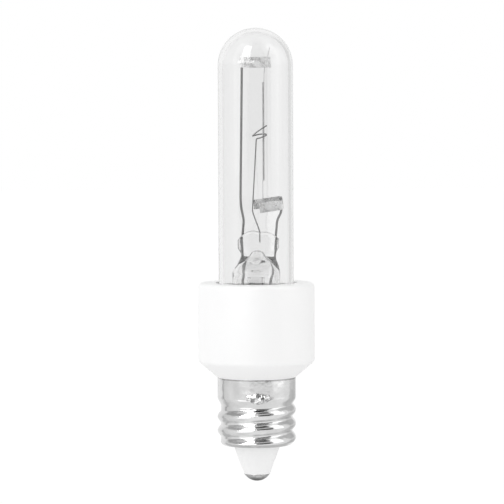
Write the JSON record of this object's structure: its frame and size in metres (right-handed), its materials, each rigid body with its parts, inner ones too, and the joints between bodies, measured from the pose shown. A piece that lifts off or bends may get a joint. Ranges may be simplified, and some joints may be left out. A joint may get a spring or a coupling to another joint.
{
  "type": "tubular light bulb",
  "caption": "Clear tubular filament lamp with a domed glass tube, white ceramic collar and miniature screw base.",
  "frame": {"origin": "lowest point of the base's tip, on the lamp's axis", "axes": "+Z along the lamp's axis from the base to the glass dome, -Y towards the side with the blown hole and the side solder"},
  "size_m": [0.0164, 0.0164, 0.0635],
  "materials": {
    "clear_glass": "clear, fire-polished",
    "stem_glass": "clear, worked by flame",
    "nickel_lead": "drawn nickel wire, dull",
    "seal_wire": "copper-clad wire sealed in glass",
    "tinned_lead": "drawn wire, dull",
    "tungsten": "dark grey, matt",
    "molybdenum": "drawn wire, satin",
    "nickel_ribbon": "rolled ribbon, satin",
    "white_ceramic": "white, smooth, satin",
    "cement": "off-white, rough",
    "nickel_shell": "nickel plate, bright with fine rolling marks",
    "white_insulator": "white, satin",
    "contact_metal": "nickel plate, dull",
    "solder": "solder, bright and lumpy"
  },
  "bodies": {
    "root": {"glass_envelope": "clear_glass", "stem_flare": "stem_glass", "exhaust_tube": "stem_glass", "long_inner_lead": "nickel_lead", "short_inner_lead": "nickel_lead", "long_seal_wire": "seal_wire", "short_seal_wire": "seal_wire", "shell_lead": "tinned_lead", "contact_lead": "tinned_lead", "filament": "tungsten", "filament_support": "molybdenum", "upper_filament_clip": "nickel_ribbon", "lower_filament_clip": "nickel_ribbon", "ceramic_collar": "white_ceramic", "basing_cement": "cement", "screw_shell": "nickel_shell", "tip_insulator": "white_insulator", "centre_contact": "contact_metal", "shell_solder": "solder", "contact_solder": "solder"}
  },
  "joints": []
}
